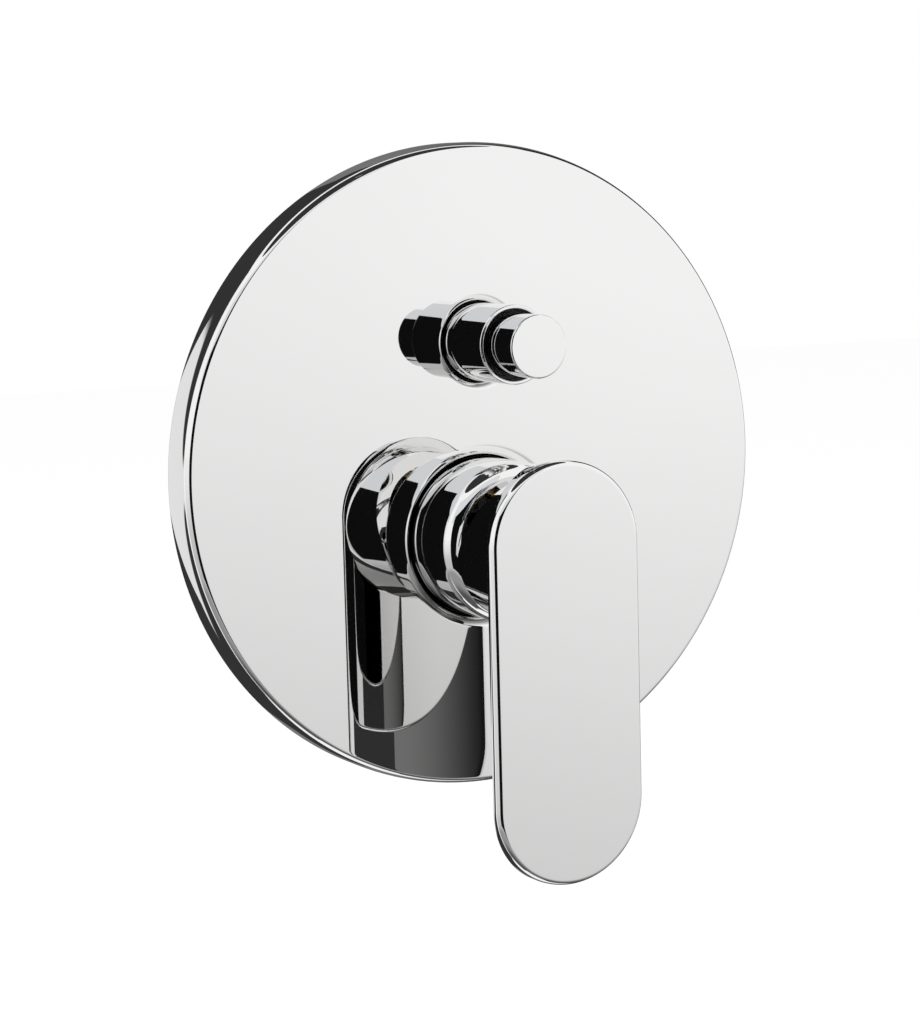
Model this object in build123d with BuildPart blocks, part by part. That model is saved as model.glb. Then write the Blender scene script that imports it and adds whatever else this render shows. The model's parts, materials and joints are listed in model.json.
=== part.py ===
from build123d import *

import math
import os

# Concealed shower mixer: wall trim, mixing cartridge, push-button diverter and the brass body in the wall.
# +X is the user's right, +Y runs into the wall and +Z is up. The origin is the centre of the cover plate
# on the face of the wall. Heights "out" are measured from the wall face towards the user, that is along -Y.

# Cover plate
plate_r = 82.5
plate_out = 10.8
plate_wall = 1.6
plate_edge_width = 2.6
plate_edge_depth = 1.8
plate_inner_edge = 1.2
main_z = -18.0
button_z = 32.0
shroud_hole_clear = 0.2
shroud_hole_edge_r = 3.0
sleeve_hole_clear = 0.25
sleeve_hole_edge_r = 2.0
collar_land = 0.6
rim_gasket_width = 4.4
rim_gasket_clear = 0.2

# Shroud round the cartridge
gasket_thick = 1.6
gasket_clear = 0.05
shroud_r = 20.5
shroud_wall = 1.6
shroud_height = 18.5
shroud_tail = 6.8
shroud_edge_r = 4.0
shroud_mouth_r = 13.5
thread_clear = 0.05
shroud_thread_above_plate = 5.0
shroud_thread_length = 5.2
slip_clear = 0.3

# Lever and hub
lever_half_width = 21.0
lever_top = 23.0
lever_bottom = 83.0
lever_thick = 5.5
lever_camber = 2.2
lever_front_edge_r = 0.7
hub_r = 19.3
hub_length = 15.5
hub_gap = 2.0
hub_wall = 3.2
hub_pocket_depth = 10.0
hub_cut_angle = 27.0
hub_cut_start = -2.0
socket_boss_width = 15.0
screw_boss_width = 9.0
socket_depth = 13.5
socket_clear = 0.05
screw_r = 2.5
screw_length = 6.0
screw_from_hub = 8.5
screw_socket_width = 2.5
screw_socket_depth = 2.4
plug_r = 3.1
plug_thick = 1.8
plug_dome_r = 0.4

# Cartridge
pivot_below_shroud = 12.3
pin_r = 1.5
pin_clear = 0.05
stem_width = 8.0
stem_clear = 0.15
stem_block_below_pivot = 3.5
stem_edge = 0.6
finger_r = 1.8
ball_r = 2.6
ball_arm = 13.0
ball_clear = 0.3
neck_wall = 2.1
nut_shoulder = 1.5
cartridge_clear = 0.15
housing_wall = 1.8
housing_lid = 1.5
lid_below_pivot = 0.8
guide_clear = 0.06
guide_side_clear = 0.2
guide_step = 2.0
guide_slot_half = 8.0
guide_front_above_pivot = 7.5
guide_skirt_below_pivot = 15.5
channel_roof_below_pivot = 9.8
channel_half = 8.7
driver_clear = 0.1
driver_edge = 0.5
driver_thick = 5.5
disc_thick = 3.0
disc_gap = 0.05
disc_travel = 5.0
disc_margin = 1.2
disc_roof_below_pivot = 16.0
mixing_pocket_r = 5.0
mixing_pocket_depth = 1.4
fixed_disc_inset = 0.7
base_spigot = 4.0
base_flange = 2.6
port_x = 6.5
port_drop = 4.0
port_rise = 7.5
port_r = 3.0
seal_width = 1.4
seal_height = 1.0
seal_stand = 0.4
peg_x = 8.5
peg_rise = 6.0
peg_r = 1.5
peg_length = 2.4
peg_clear = 0.1
nut_bore_clear = 0.6
nut_thread_length = 5.8
nut_hex_flats = 29.0
nut_hex_height = 4.5
nut_bevel = 0.8

# Body in the wall
barrel_r = 24.0
barrel_front = -6.0
body_back = -42.0
diverter_barrel_r = 15.0
diverter_barrel_front = -2.0
web_half = 15.0
web_front = -10.0
cast_edge_r = 2.0
barrel_bevel = 1.0
port_out = -26.0
inlet_reach = 46.0
outlet_reach = 66.0
boss_r = 13.0
hex_flats = 29.0
hex_length = 12.0
hex_bevel = 1.2
port_thread_r = 9.3
port_thread_depth = 15.0
port_mouth_bevel = 0.8
drilling_r = 4.0
drilling_out = -22.0
drilling_end_x = 4.5
mix_drilling_r = 3.2
mix_below_floor = 3.5
lug_z = 7.0
lug_spacing = 66.0
lug_half_width = 6.5
lug_thick = 5.0
lug_front = -11.0
lug_hole_r = 2.75
o_ring_groove_width = 2.2
o_ring_groove_depth = 1.3
o_ring_squeeze = 0.02
shroud_ring_above_plate = 2.7

# Diverter
sleeve_wall = 1.0
sleeve_height = 18.4
sleeve_tail = 7.8
sleeve_edge_r = 0.3
sleeve_mouth_edge_r = 0.4
sleeve_thread_wall = 1.55
bush_wall = 0.95
bush_fit_clear = 0.05
bush_below_lip = 4.8
bush_length = 7.0
button_r = 7.9
button_clear = 0.1
button_height = 30.1
button_wall = 1.4
button_skirt_length = 20.4
button_edge = 0.45
button_boss_wall = 1.7
button_boss_length = 11.5
button_thread_length = 6.5
button_travel = 8.0
press_room = 2.0
rod_r = 2.5
rod_clear = 0.06
rod_fit_clear = 0.02
bonnet_thread_r = 9.95
bonnet_thread_length = 6.0
bonnet_hex_flats = 22.0
bonnet_hex_height = 4.0
bonnet_bevel = 0.8
spring_pocket_r = 6.3
spring_pocket_floor = 3.0
bonnet_groove_width = 1.6
bonnet_ring_r = 0.65
rod_groove_width = 2.0
rod_groove_r = 4.3
rod_groove_out = -5.0
spring_r = 5.4
spring_wire_r = 0.55
spring_turns = 7
spring_end_clear = 0.1
bore_r = 7.5
bore_end = -38.5
bore_step_clear = 0.5
gallery_r = 9.0
gallery_out = -25.0
gallery_width = 5.0
top_drilling_r = 5.0
rear_drilling_out = -34.0
spool_front = -19.5
spool_length = 10.0
spool_clear = 0.15
spool_wall = 2.35
spool_hub_r = 3.8
spool_hub_length = 4.0
spoke_width = 2.0
spoke_count = 3
spool_ring_r = 0.6
spool_groove_width = 1.6
spool_groove_from_end = 1.5
spool_ring_clear = 0.06
washer_thick = 0.7
washer_clear = 0.3

# Levels and radii that follow from the sizes above
shroud_base = plate_out - shroud_tail
shroud_out = plate_out + shroud_height
hub_rear = shroud_out + hub_gap
lever_back = hub_rear + hub_length
camber_r = (lever_half_width ** 2 + lever_camber ** 2) / (2 * lever_camber)
neck_r = shroud_r - shroud_wall - slip_clear
nut_thread_r = neck_r - neck_wall
cartridge_r = nut_thread_r - nut_shoulder
chamber_r = cartridge_r + cartridge_clear
housing_in_r = cartridge_r - housing_wall
guide_r = housing_in_r - guide_side_clear
guide_neck_r = guide_r - guide_step
moving_disc_r = housing_in_r - disc_travel / 2 - disc_margin
fixed_disc_r = housing_in_r - fixed_disc_inset
pivot_out = shroud_out - pivot_below_shroud
housing_top = pivot_out - lid_below_pivot
disc_roof = pivot_out - disc_roof_below_pivot
fixed_disc_top = disc_roof - disc_thick - disc_gap
base_top = fixed_disc_top - disc_thick
base_bottom = base_top - base_spigot - base_flange
floor_out = base_bottom - seal_stand
neck_front = housing_top + nut_thread_length
ball_out = pivot_out - ball_arm
screw_out = hub_rear + screw_from_hub
shroud_ring_out = plate_out + shroud_ring_above_plate
sleeve_base = plate_out - sleeve_tail
sleeve_out = plate_out + sleeve_height
bush_bore_r = button_r + button_clear
bush_r = bush_bore_r + bush_wall
sleeve_bore_r = bush_r + bush_fit_clear
sleeve_r = sleeve_bore_r + sleeve_wall
bonnet_neck_r = sleeve_r - sleeve_thread_wall - thread_clear
bush_front = sleeve_out - bush_below_lip
bush_end = bush_front - bush_length
shroud_hole_r = shroud_r + shroud_hole_clear
sleeve_hole_r = sleeve_r + sleeve_hole_clear
shroud_collar_end = plate_out - shroud_hole_edge_r - collar_land
sleeve_collar_end = plate_out - sleeve_hole_edge_r - collar_land
button_out = plate_out + button_height
button_skirt_out = button_out - button_skirt_length
bonnet_front = button_skirt_out - button_travel - press_room
bonnet_end = diverter_barrel_front - bonnet_thread_length
bonnet_ring_out = diverter_barrel_front - bonnet_groove_width
spool_end = spool_front - spool_length
spool_r = bore_r - spool_clear
rod_end = spool_front - spool_hub_length
rod_tip = button_out - button_wall - button_boss_length + button_thread_length
ports = [(-port_x, -port_drop), (port_x, -port_drop), (0, port_rise)]
pegs = [(-peg_x, peg_rise), (peg_x, peg_rise)]


def axis_plane(z):
    """Section plane through a Y-parallel axis at height z: local x is radius, local y is height out."""
    return Plane(origin=(0, 0, z), x_dir=(1, 0, 0), z_dir=(0, 0, -1))


def facing(out, z):
    """Plane that faces the user at a height out of the wall, with local x to the right and local y up."""
    return Plane(origin=(0, -out, z), x_dir=(1, 0, 0), z_dir=(0, -1, 0))


def turned(plane, outline, mode=Mode.ADD):
    """Turn a closed outline of (radius, height) points about the plane's own y line."""
    with BuildSketch(plane) as section:
        with BuildLine():
            Polyline(*outline, close=True)
        make_face()
    revolve(section.sketch, axis=Axis(plane.origin, plane.y_dir), mode=mode)


def ring(plane, inner, outer, low, high, mode=Mode.ADD):
    """Turn a plain ring, or a disc where the inner radius is 0."""
    turned(plane, [(inner, low), (outer, low), (outer, high), (inner, high)], mode)


def o_ring(plane, middle, out, cord):
    """Turn a round cord into a ring whose cord centre runs at the middle radius."""
    with BuildSketch(plane) as section:
        with Locations((middle, out)):
            Circle(cord)
    revolve(section.sketch, axis=Axis(plane.origin, plane.y_dir))


def hexagon(plane, flats, height):
    """Raise a hexagon of the given width across flats from a plane."""
    with BuildSketch(plane) as section:
        RegularPolygon(flats / 2, 6, major_radius=False)
    extrude(section.sketch, amount=height)


def drilled(plane, radius, depth):
    """Drill a round passage from a plane along its normal."""
    with BuildSketch(plane) as section:
        Circle(radius)
    extrude(section.sketch, amount=depth, mode=Mode.SUBTRACT)


def edges_at(part, out):
    """Edges of a part that lie wholly at one height out of the wall."""
    return part.edges().filter_by_position(Axis.Y, -out, -out)


main_axis = axis_plane(main_z)
button_axis = axis_plane(button_z)
plate_axis = axis_plane(0)

# Cover plate: dished disc with a rounded edge and a drawn-in collar round each control
with BuildPart() as cover_plate:
    with BuildSketch(plate_axis):
        with BuildLine():
            edge_centre = (plate_r - plate_edge_width, plate_out - plate_edge_depth)
            crown = EllipticalCenterArc(edge_centre, plate_edge_width, plate_edge_depth,
                                        start_angle=0, arc_size=90)
            Polyline(crown @ 1, (0, plate_out), (0, plate_out - plate_wall),
                     (plate_r - plate_wall - plate_inner_edge, plate_out - plate_wall),
                     (plate_r - plate_wall, plate_out - plate_wall - plate_inner_edge),
                     (plate_r - plate_wall, 0), (plate_r, 0), crown @ 0)
        make_face()
    revolve(axis=Axis(plate_axis.origin, plate_axis.y_dir))
    for z, hole_r, edge_r, collar_end in (
            (main_z, shroud_hole_r, shroud_hole_edge_r, shroud_collar_end),
            (button_z, sleeve_hole_r, sleeve_hole_edge_r, sleeve_collar_end)):
        ring(axis_plane(z), 0, hole_r + plate_wall, collar_end, plate_out - plate_wall)
        ring(axis_plane(z), 0, hole_r, collar_end, plate_out, Mode.SUBTRACT)
        fillet(edges_at(cover_plate, plate_out).sort_by(SortBy.RADIUS)[0], edge_r)
        fillet(edges_at(cover_plate, plate_out - plate_wall).sort_by(SortBy.RADIUS)[0], edge_r - plate_wall)

# Foam strip inside the rim, from the plate's back to the wall
with BuildPart() as wall_gasket:
    gasket_outer = plate_r - plate_wall - rim_gasket_clear - plate_inner_edge
    ring(plate_axis, gasket_outer - rim_gasket_width, gasket_outer, 0, plate_out - plate_wall)

# Shroud: sleeve through the plate, with a closed front and a round mouth for the stem
with BuildPart() as shroud:
    thread_start = plate_out + shroud_thread_above_plate
    thread_stop = thread_start + shroud_thread_length
    inner_r = neck_r + slip_clear
    turned(main_axis, [
        (inner_r, shroud_base),
        (shroud_r, shroud_base),
        (shroud_r, shroud_out),
        (shroud_mouth_r, shroud_out),
        (shroud_mouth_r, shroud_out - shroud_wall),
        (inner_r, shroud_out - shroud_wall),
        (inner_r, thread_stop),
        (neck_r + thread_clear, thread_stop),
        (neck_r + thread_clear, thread_start),
        (inner_r, thread_start),
    ])
    fillet(edges_at(shroud, shroud_out).sort_by(SortBy.RADIUS)[-1], shroud_edge_r)
    fillet(edges_at(shroud, shroud_out - shroud_wall).sort_by(SortBy.RADIUS)[-1],
           shroud_edge_r - shroud_wall)

# Sealing ring that grips the shroud behind the plate's collar
with BuildPart() as shroud_gasket:
    ring(main_axis, shroud_r + gasket_clear, shroud_hole_r + plate_wall,
         shroud_collar_end - gasket_thick, shroud_collar_end)

with BuildPart() as shroud_o_ring:
    groove_floor_r = neck_r - o_ring_groove_depth
    cord_r = (neck_r + slip_clear - groove_floor_r) / 2 - o_ring_squeeze
    o_ring(main_axis, (neck_r + slip_clear + groove_floor_r) / 2, shroud_ring_out, cord_r)

# Body in the wall: cartridge barrel with its neck, diverter barrel, web, four port bosses and two lugs
with BuildPart() as valve_body:
    ring(main_axis, 0, barrel_r, body_back, barrel_front)
    ring(button_axis, 0, diverter_barrel_r, body_back, diverter_barrel_front)
    with BuildSketch(facing(body_back, 0)):
        with Locations((0, (main_z + button_z) / 2)):
            Rectangle(2 * web_half, button_z - main_z)
    extrude(amount=web_front - body_back)
    fillet(edges_at(valve_body, body_back), cast_edge_r)
    ring(main_axis, 0, neck_r, barrel_front, neck_front)
    for side in (-1, 1):
        inlet_plane = Plane(origin=(0, -port_out, main_z), x_dir=(0, 1, 0), z_dir=(side, 0, 0))
        with BuildSketch(inlet_plane):
            Circle(boss_r)
        extrude(amount=inlet_reach)
        hexagon(inlet_plane.offset(inlet_reach - hex_length), hex_flats, hex_length)
        face_x = side * inlet_reach
        chamfer(valve_body.edges().filter_by_position(Axis.X, face_x, face_x), hex_bevel)
        outlet_start = button_z if side > 0 else main_z
        outlet_plane = Plane(origin=(0, -port_out, outlet_start), x_dir=(1, 0, 0), z_dir=(0, 0, side))
        outlet_length = outlet_reach - side * outlet_start
        with BuildSketch(outlet_plane):
            Circle(boss_r)
        extrude(amount=outlet_length)
        hexagon(outlet_plane.offset(outlet_length - hex_length), hex_flats, hex_length)
        face_z = side * outlet_reach
        chamfer(valve_body.edges().filter_by_position(Axis.Z, face_z, face_z), hex_bevel)
    with BuildSketch(facing(lug_front - lug_thick, lug_z)):
        SlotCenterToCenter(lug_spacing, 2 * lug_half_width)
        with GridLocations(lug_spacing, 0, 2, 1):
            Circle(lug_hole_r, mode=Mode.SUBTRACT)
    extrude(amount=lug_thick)
    for barrel_end in (barrel_front, diverter_barrel_front):
        rims = edges_at(valve_body, barrel_end).filter_by(GeomType.CIRCLE)
        chamfer(rims.sort_by(SortBy.RADIUS)[-1], barrel_bevel)
    # Cartridge chamber, nut thread and O-ring groove
    ring(main_axis, 0, chamber_r, floor_out, neck_front, Mode.SUBTRACT)
    ring(main_axis, 0, nut_thread_r, housing_top - nut_shoulder / 2, neck_front, Mode.SUBTRACT)
    ring(main_axis, neck_r - o_ring_groove_depth, neck_r, shroud_ring_out - o_ring_groove_width / 2,
         shroud_ring_out + o_ring_groove_width / 2, Mode.SUBTRACT)
    with BuildSketch(facing(floor_out, main_z)):
        with Locations(*pegs):
            Circle(peg_r + peg_clear)
    extrude(amount=-(peg_length + peg_clear), mode=Mode.SUBTRACT)
    # Inlets: pipe thread, cross drilling and a rise to the chamber floor
    for side, (x, z) in zip((-1, 1), ports):
        mouth_x = side * inlet_reach
        drilled(Plane(origin=(mouth_x, -port_out, main_z), x_dir=(0, 1, 0), z_dir=(-side, 0, 0)),
                port_thread_r, port_thread_depth)
        drilled(Plane(origin=(mouth_x, -drilling_out, main_z), x_dir=(0, 1, 0), z_dir=(-side, 0, 0)),
                drilling_r, inlet_reach - drilling_end_x)
        with BuildSketch(facing(drilling_out, main_z)):
            with Locations((x, z)):
                Circle(port_r)
        extrude(amount=floor_out - drilling_out, mode=Mode.SUBTRACT)
    # Mixed water: drop from the chamber floor and a vertical passage to the diverter bore
    mix_out = floor_out - mix_below_floor
    with BuildSketch(facing(mix_out, main_z)):
        with Locations((0, port_rise)):
            Circle(port_r)
    extrude(amount=floor_out - mix_out, mode=Mode.SUBTRACT)
    drilled(Plane(origin=(0, -mix_out, main_z + port_rise), z_dir=(0, 0, 1)), mix_drilling_r,
            button_z - main_z - port_rise)
    # Diverter bore with its gallery and bonnet thread
    ring(button_axis, 0, bore_r, bore_end, diverter_barrel_front, Mode.SUBTRACT)
    ring(button_axis, 0, bonnet_thread_r + thread_clear, bonnet_end - bore_step_clear,
         diverter_barrel_front, Mode.SUBTRACT)
    ring(button_axis, 0, gallery_r, gallery_out - gallery_width / 2, gallery_out + gallery_width / 2,
         Mode.SUBTRACT)
    # Outlets: pipe threads, upper passage from the gallery, lower passage behind the cartridge chamber
    for side in (-1, 1):
        drilled(Plane(origin=(0, -port_out, side * outlet_reach), x_dir=(1, 0, 0), z_dir=(0, 0, -side)),
                port_thread_r, port_thread_depth)
    drilled(Plane(origin=(0, -gallery_out, outlet_reach), x_dir=(1, 0, 0), z_dir=(0, 0, -1)),
            top_drilling_r, outlet_reach - button_z)
    drilled(Plane(origin=(0, -rear_drilling_out, port_thread_depth - outlet_reach), z_dir=(0, 0, 1)),
            drilling_r, outlet_reach - port_thread_depth + button_z)
    # Bevel round the mouth of each pipe thread
    mouths = valve_body.edges().filter_by(GeomType.CIRCLE).filter_by(
        lambda edge: math.isclose(edge.radius, port_thread_r) and max(
            abs(edge.arc_center.X) - inlet_reach, abs(edge.arc_center.Z) - outlet_reach) > -port_mouth_bevel)
    chamfer(mouths, port_mouth_bevel)

# Retaining nut: threaded ring with a hexagon, pressing on the cartridge's lid
with BuildPart() as retaining_nut:
    hexagon(facing(neck_front, main_z), nut_hex_flats, nut_hex_height)
    ring(main_axis, 0, nut_thread_r - thread_clear, housing_top, neck_front)
    fillet(edges_at(retaining_nut, neck_front + nut_hex_height), nut_bevel)
    ring(main_axis, 0, guide_neck_r + nut_bore_clear, housing_top, neck_front + nut_hex_height, Mode.SUBTRACT)

# Cartridge housing: cup with a bored lid
with BuildPart() as cartridge_housing:
    turned(main_axis, [
        (housing_in_r, base_top - base_spigot),
        (cartridge_r, base_top - base_spigot),
        (cartridge_r, housing_top),
        (guide_neck_r + guide_clear, housing_top),
        (guide_neck_r + guide_clear, housing_top - housing_lid),
        (housing_in_r, housing_top - housing_lid),
    ])

# Cartridge base: flanged plug with three ports, seal seats and two locating pegs
with BuildPart() as cartridge_base:
    ring(main_axis, 0, cartridge_r, base_bottom, base_bottom + base_flange)
    ring(main_axis, 0, housing_in_r - peg_clear, base_bottom + base_flange, base_top)
    with BuildSketch(facing(base_bottom, main_z)):
        with Locations(*pegs):
            Circle(peg_r)
    extrude(amount=-(peg_length + seal_stand))
    with BuildSketch(facing(base_bottom, main_z)):
        with Locations(*ports):
            Circle(port_r)
    extrude(amount=base_top - base_bottom, mode=Mode.SUBTRACT)
    with BuildSketch(facing(base_bottom, main_z)):
        with Locations(*ports):
            Circle(port_r + seal_width)
    extrude(amount=seal_height - seal_stand, mode=Mode.SUBTRACT)

with BuildPart() as base_seals:
    with BuildSketch(facing(floor_out, main_z)):
        with Locations(*ports):
            Circle(port_r + seal_width)
            Circle(port_r, mode=Mode.SUBTRACT)
    extrude(amount=seal_height)

# Ceramic discs: the fixed one has the three ports, the moving one a mixing pocket in its lower face
with BuildPart() as fixed_disc:
    ring(main_axis, 0, fixed_disc_r, base_top, fixed_disc_top)
    with BuildSketch(facing(base_top, main_z)):
        with Locations(*ports):
            Circle(port_r)
    extrude(amount=disc_thick, mode=Mode.SUBTRACT)

disc_z = main_z + disc_travel / 2
with BuildPart() as moving_disc:
    ring(axis_plane(disc_z), 0, moving_disc_r, disc_roof - disc_thick, disc_roof)
    with BuildSketch(facing(disc_roof - disc_thick, disc_z)):
        SlotOverall(2 * (moving_disc_r - disc_margin), 2 * mixing_pocket_r)
    extrude(amount=mixing_pocket_depth, mode=Mode.SUBTRACT)

# Driver: carries the moving disc, slides in the guide's channel and holds the stem's ball
with BuildPart() as disc_driver:
    with BuildSketch(facing(disc_roof, disc_z)):
        Circle(moving_disc_r)
        Rectangle(2 * (channel_half - driver_clear), 2 * moving_disc_r, mode=Mode.INTERSECT)
    extrude(amount=driver_thick)
    chamfer(edges_at(disc_driver, disc_roof + driver_thick), driver_edge)
    with BuildSketch(facing(disc_roof + driver_thick, main_z)):
        Circle(ball_r + ball_clear)
    extrude(amount=-(disc_roof + driver_thick - ball_out + ball_r + ball_clear), mode=Mode.SUBTRACT)

# Guide: turns in the housing, carries the pivot pin and leads the driver between two cheeks
with BuildPart() as rotating_guide:
    skirt_out = pivot_out - guide_skirt_below_pivot
    guide_top = housing_top - housing_lid - driver_clear
    channel_roof = pivot_out - channel_roof_below_pivot
    turned(main_axis, [
        (0, skirt_out),
        (guide_r, skirt_out),
        (guide_r, guide_top),
        (guide_neck_r, guide_top),
        (guide_neck_r, pivot_out + guide_front_above_pivot),
        (0, pivot_out + guide_front_above_pivot),
    ])
    with BuildSketch(facing(skirt_out, main_z)):
        Rectangle(2 * channel_half, 2 * guide_r)
    extrude(amount=channel_roof - skirt_out, mode=Mode.SUBTRACT)
    with BuildSketch(facing(channel_roof, main_z)):
        Rectangle(stem_width + 2 * stem_clear, 2 * guide_slot_half)
    extrude(amount=pivot_out + guide_front_above_pivot - channel_roof, mode=Mode.SUBTRACT)
    drilled(Plane(origin=(-guide_neck_r, -pivot_out, main_z), x_dir=(0, 1, 0), z_dir=(1, 0, 0)),
            pin_r, 2 * guide_neck_r)

with BuildPart() as pivot_pin:
    pin_length = 2 * guide_neck_r - stem_width / 2
    with BuildSketch(Plane(origin=(-pin_length / 2, -pivot_out, main_z), x_dir=(0, 1, 0), z_dir=(1, 0, 0))):
        Circle(pin_r)
    extrude(amount=pin_length)

# Stem: square shank on the pivot pin, with a finger and ball that push the driver
with BuildPart() as cartridge_stem:
    block_out = pivot_out - stem_block_below_pivot
    shank_out = hub_rear + socket_depth - stem_edge
    with BuildSketch(facing(block_out, main_z)):
        Rectangle(stem_width, stem_width)
    extrude(amount=shank_out - block_out)
    chamfer(edges_at(cartridge_stem, shank_out), stem_edge)
    chamfer(edges_at(cartridge_stem, block_out), stem_edge)
    ring(main_axis, 0, finger_r, ball_out, block_out)
    with Locations((0, -ball_out, main_z)):
        Sphere(ball_r)
    drilled(Plane(origin=(-stem_width / 2, -pivot_out, main_z), x_dir=(0, 1, 0), z_dir=(1, 0, 0)),
            pin_r + pin_clear, stem_width)

# Lever: flat stadium on a round hub, hub hollowed behind and cut away above the axis so that it can tip
with BuildPart() as lever_handle:
    with BuildSketch(facing(lever_back, main_z)):
        with Locations((0, (lever_top - lever_bottom) / 2)):
            SlotOverall(lever_top + lever_bottom, 2 * lever_half_width, rotation=90)
    extrude(amount=lever_thick)
    fillet(edges_at(lever_handle, lever_back + lever_thick), lever_front_edge_r)
    with BuildSketch(Plane.XY.offset(main_z - lever_bottom)):
        with Locations((0, -lever_back - camber_r)):
            Circle(camber_r)
    extrude(amount=lever_top + lever_bottom, mode=Mode.INTERSECT)
    ring(main_axis, 0, hub_r, hub_rear, lever_back + lever_camber)
    cut_run = hub_r - hub_cut_start
    cut_rise = cut_run * math.tan(math.radians(hub_cut_angle))
    with BuildSketch(Plane.YZ):
        with BuildLine():
            Polyline((-hub_rear, main_z + hub_cut_start), (-hub_rear, main_z + hub_r),
                     (-hub_rear - cut_rise, main_z + hub_r), close=True)
        make_face()
    extrude(amount=hub_r, both=True, mode=Mode.SUBTRACT)
    with BuildSketch(facing(hub_rear, main_z)):
        Circle(hub_r - hub_wall)
        Rectangle(socket_boss_width, socket_boss_width, mode=Mode.SUBTRACT)
        with Locations((0, -hub_r / 2)):
            Rectangle(screw_boss_width, hub_r, mode=Mode.SUBTRACT)
    extrude(amount=hub_pocket_depth, mode=Mode.SUBTRACT)
    with BuildSketch(facing(hub_rear, main_z)):
        Rectangle(stem_width + 2 * socket_clear, stem_width + 2 * socket_clear)
    extrude(amount=socket_depth, mode=Mode.SUBTRACT)
    screw_mouth = Plane(origin=(0, -screw_out, main_z - hub_r), z_dir=(0, 0, 1))
    drilled(screw_mouth, screw_r + thread_clear, hub_r)
    drilled(screw_mouth, plug_r + thread_clear, plug_thick)

screw_tip_z = main_z - stem_width / 2 - socket_clear
with BuildPart() as grub_screw:
    screw_end = Plane(origin=(0, -screw_out, screw_tip_z - screw_length), z_dir=(0, 0, 1))
    with BuildSketch(screw_end):
        Circle(screw_r)
    extrude(amount=screw_length)
    chamfer(grub_screw.edges().filter_by(GeomType.CIRCLE), screw_r / 6)
    with BuildSketch(screw_end):
        RegularPolygon(screw_socket_width / 2, 6, major_radius=False)
    extrude(amount=screw_socket_depth, mode=Mode.SUBTRACT)

with BuildPart() as grub_screw_plug:
    with BuildSketch(Plane(origin=(0, -screw_out, main_z - hub_r), z_dir=(0, 0, 1))):
        Circle(plug_r)
    extrude(amount=plug_thick)
    fillet(grub_screw_plug.edges().sort_by(Axis.Z)[0], plug_dome_r)

# Diverter bonnet: screwed into the body, guides the rod and seats the spring
with BuildPart() as diverter_bonnet:
    hexagon(facing(diverter_barrel_front, button_z), bonnet_hex_flats, bonnet_hex_height)
    chamfer(edges_at(diverter_bonnet, diverter_barrel_front + bonnet_hex_height), bonnet_bevel)
    ring(button_axis, 0, bonnet_thread_r, bonnet_end, diverter_barrel_front)
    ring(button_axis, 0, bonnet_neck_r, diverter_barrel_front + bonnet_hex_height, bonnet_front)
    ring(button_axis, 0, spring_pocket_r, spring_pocket_floor, bonnet_front, Mode.SUBTRACT)
    ring(button_axis, 0, rod_r + rod_clear, bonnet_end, bonnet_front, Mode.SUBTRACT)
    ring(button_axis, 0, rod_groove_r, rod_groove_out - rod_groove_width / 2,
         rod_groove_out + rod_groove_width / 2, Mode.SUBTRACT)
    ring(button_axis, bonnet_thread_r - 2 * bonnet_ring_r, bonnet_thread_r,
         bonnet_ring_out - bonnet_groove_width / 2, bonnet_ring_out + bonnet_groove_width / 2, Mode.SUBTRACT)

with BuildPart() as bonnet_o_ring:
    o_ring(button_axis, bonnet_thread_r - bonnet_ring_r + thread_clear / 2, bonnet_ring_out,
           bonnet_ring_r)

with BuildPart() as rod_o_ring:
    o_ring(button_axis, (rod_r + rod_groove_r) / 2, rod_groove_out,
           (rod_groove_r - rod_r) / 2 - rod_clear / 2)

# Diverter sleeve: tube through the plate, screwed over the bonnet's neck, that holds the button's guide bush
with BuildPart() as diverter_sleeve:
    turned(button_axis, [
        (bonnet_neck_r + thread_clear, sleeve_base),
        (sleeve_r, sleeve_base),
        (sleeve_r, sleeve_out),
        (sleeve_bore_r, sleeve_out),
        (sleeve_bore_r, bush_end),
        (bonnet_neck_r + thread_clear, bush_end),
    ])
    fillet(edges_at(diverter_sleeve, sleeve_out).sort_by(SortBy.RADIUS)[-1], sleeve_edge_r)
    fillet(edges_at(diverter_sleeve, sleeve_out).sort_by(SortBy.RADIUS)[0], sleeve_mouth_edge_r)

# Guide bush: ring inside the sleeve's mouth that the button slides in
with BuildPart() as button_bush:
    ring(button_axis, bush_bore_r, bush_r, bush_end, bush_front)

# Sealing ring that grips the sleeve behind the plate's collar
with BuildPart() as sleeve_gasket:
    ring(button_axis, sleeve_r + gasket_clear, sleeve_hole_r + plate_wall,
         sleeve_collar_end - gasket_thick, sleeve_collar_end)

# Button: hollow cap with a boss that the rod screws into
with BuildPart() as diverter_button:
    ring(button_axis, 0, button_r, button_skirt_out, button_out)
    fillet(edges_at(diverter_button, button_out), button_edge)
    ring(button_axis, rod_r + button_boss_wall, button_r - button_wall, button_skirt_out,
         button_out - button_wall, Mode.SUBTRACT)
    ring(button_axis, 0, rod_r + button_boss_wall, button_skirt_out,
         button_out - button_wall - button_boss_length, Mode.SUBTRACT)
    ring(button_axis, 0, rod_r + rod_fit_clear, button_skirt_out, rod_tip, Mode.SUBTRACT)

with BuildPart() as diverter_rod:
    ring(button_axis, 0, rod_r, rod_end, rod_tip)
    chamfer(edges_at(diverter_rod, rod_end), rod_r / 6)

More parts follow.
